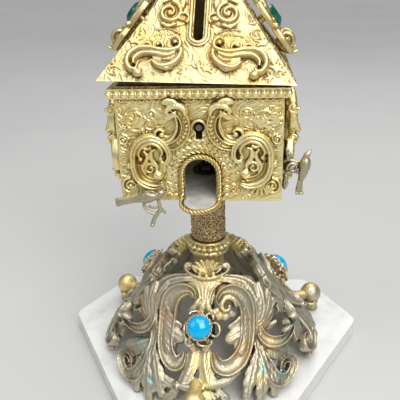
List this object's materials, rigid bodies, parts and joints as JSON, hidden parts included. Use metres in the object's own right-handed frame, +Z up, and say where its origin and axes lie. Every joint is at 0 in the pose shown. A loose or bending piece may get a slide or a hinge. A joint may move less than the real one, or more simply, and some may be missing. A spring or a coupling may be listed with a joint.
{
  "type": "table casket on tripod foot",
  "caption": "Gilt square casket with a slotted pyramid lid and small arched opening, on a short stem, an openwork tripod foot and a marble plinth.",
  "frame": {"origin": "centre of the plinth on its underside, on the axis of the stem", "axes": "+Z up along the stem; the keyhole and the arched opening face -Y; +X is to the right when facing the front"},
  "size_m": [0.1696, 0.149, 0.2267],
  "materials": {
    "pale_gilt": "pale gilt, cast and chased, polished on the high points with orange-gold recesses",
    "yellow_gilt": "bright yellow gilt, engraved all over, darker in the recesses",
    "antique_gilt": "worn antique gilt with brown shading and green patina in the low places",
    "marble": "honed white marble with soft grey mottling",
    "turquoise": "glossy sky-blue cabochon",
    "emerald": "polished dark green faceted stone",
    "pewter": "dull light grey metal, mottled",
    "steel": "plain darkened steel",
    "cork": "plain sheet cork"
  },
  "bodies": {
    "stand": {"arch_rope": "yellow_gilt", "beaded_band": "yellow_gilt", "bird_front": "pale_gilt", "bird_side": "pale_gilt", "box_back": "yellow_gilt", "box_front": "yellow_gilt", "box_left": "yellow_gilt", "box_right": "yellow_gilt", "cartouche_back_left": "yellow_gilt", "cartouche_back_right": "yellow_gilt", "cartouche_front_left": "yellow_gilt", "cartouche_front_right": "yellow_gilt", "drill_pin": "steel", "floor_plate": "pewter", "foot_collar": "antique_gilt", "foot_panel_front": "antique_gilt", "foot_panel_left": "antique_gilt", "foot_panel_right": "antique_gilt", "hinge_leaf_box": "yellow_gilt", "hinge_pin": "steel", "keyhole_rim": "yellow_gilt", "lever_spring": "steel", "lock_case": "steel", "lower_nut": "steel", "marble_plinth": "marble", "recess_plug": "cork", "scroll_front_left": "yellow_gilt", "scroll_front_right": "yellow_gilt", "side_mount_left": "yellow_gilt", "side_mount_right": "yellow_gilt", "stem_flange": "antique_gilt", "stem_tube": "antique_gilt", "tie_rod": "steel", "turquoise_collet_front": "antique_gilt", "turquoise_collet_left": "antique_gilt", "turquoise_collet_right": "antique_gilt", "turquoise_front": "turquoise", "turquoise_left": "turquoise", "turquoise_right": "turquoise", "twig_front": "pale_gilt", "twig_side": "pale_gilt", "upper_nut": "steel"},
    "lid": {"roof_shell": "pale_gilt", "slot_rim": "pale_gilt", "finial": "pale_gilt", "finial_nut": "steel", "lid_frame": "steel", "lock_staple": "steel", "roof_scroll_left": "pale_gilt", "roof_scroll_right": "pale_gilt", "roof_rosette_left": "pale_gilt", "roof_rosette_right": "pale_gilt", "emerald_mount_left": "pale_gilt", "emerald_mount_right": "pale_gilt", "emerald_left": "emerald", "emerald_right": "emerald", "hinge_leaf_lid": "pale_gilt"},
    "bolt": {"lock_bolt": "steel"},
    "lever": {"lock_lever": "steel"}
  },
  "joints": [
    {"name": "lid_hinge", "type": "hinge", "parent": "stand", "child": "lid", "pos_m": [0, 0.0431, 0.1644], "axis": [-1, 0, 0], "range_deg": [0, 100]},
    {"name": "bolt_slide", "type": "slide", "parent": "stand", "child": "bolt", "axis": [1, 0, 0], "range_m": [0, 0.004]},
    {"name": "lever_lift", "type": "hinge", "parent": "stand", "child": "lever", "pos_m": [0.0086, -0.03365, 0.147], "axis": [0, 1, 0], "range_deg": [0, 6]}
  ]
}
